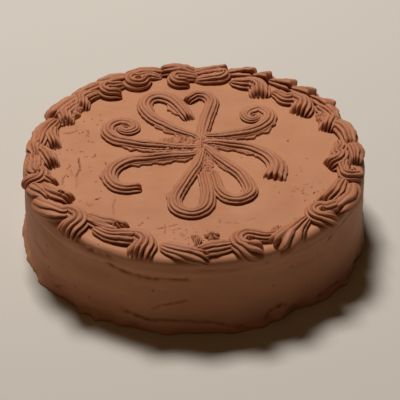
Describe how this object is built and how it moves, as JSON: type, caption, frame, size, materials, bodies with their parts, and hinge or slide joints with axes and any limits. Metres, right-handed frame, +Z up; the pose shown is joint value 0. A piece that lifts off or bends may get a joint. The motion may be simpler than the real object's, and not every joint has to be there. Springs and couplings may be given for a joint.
{
  "type": "chocolate cake",
  "caption": "Round uncut cake iced with chocolate buttercream, with a piped shell border round the rim and piped loops, scrolls and hooks on top.",
  "frame": {"origin": "centre of the flat base, on the axis of the round cake; the border overhangs more on the right, so the middle of the bounding box is 1.7 mm to +X of it", "axes": "+Z up out of the top, -Y the front as pictured, +X to the right as seen from the front"},
  "size_m": [0.2478, 0.2438, 0.0675],
  "materials": {
    "icing": "soft matte buttercream smoothed with a spatula",
    "piping": "soft buttercream piped through a star nozzle, ridged"
  },
  "bodies": {
    "root": {"cake_body": "icing", "ornament_hub": "piping", "loop_up_left": "piping", "loop_up_right": "piping", "scroll_right_up": "piping", "hook_right_down": "piping", "loop_down_right": "piping", "loop_down": "piping", "hook_left_down": "piping", "scroll_left_up": "piping", "border_left_01": "piping", "border_left_02": "piping", "border_left_03": "piping", "border_left_04": "piping", "border_left_05": "piping", "border_left_06": "piping", "border_left_07": "piping", "border_left_08": "piping", "border_left_09": "piping", "border_left_10": "piping", "border_left_11": "piping", "border_left_12": "piping", "border_left_13": "piping", "border_left_14": "piping", "border_left_15": "piping", "border_left_16": "piping", "border_left_17": "piping", "border_left_18": "piping", "border_left_19": "piping", "border_left_20": "piping", "border_right_01": "piping", "border_right_02": "piping", "border_right_03": "piping", "border_right_04": "piping", "border_right_05": "piping", "border_right_06": "piping", "border_right_07": "piping", "border_right_08": "piping", "border_right_09": "piping", "border_right_10": "piping", "border_right_11": "piping", "border_right_12": "piping", "border_right_13": "piping", "border_right_14": "piping", "border_right_15": "piping", "border_right_16": "piping", "border_right_17": "piping", "border_right_18": "piping", "border_right_19": "piping"}
  },
  "joints": []
}
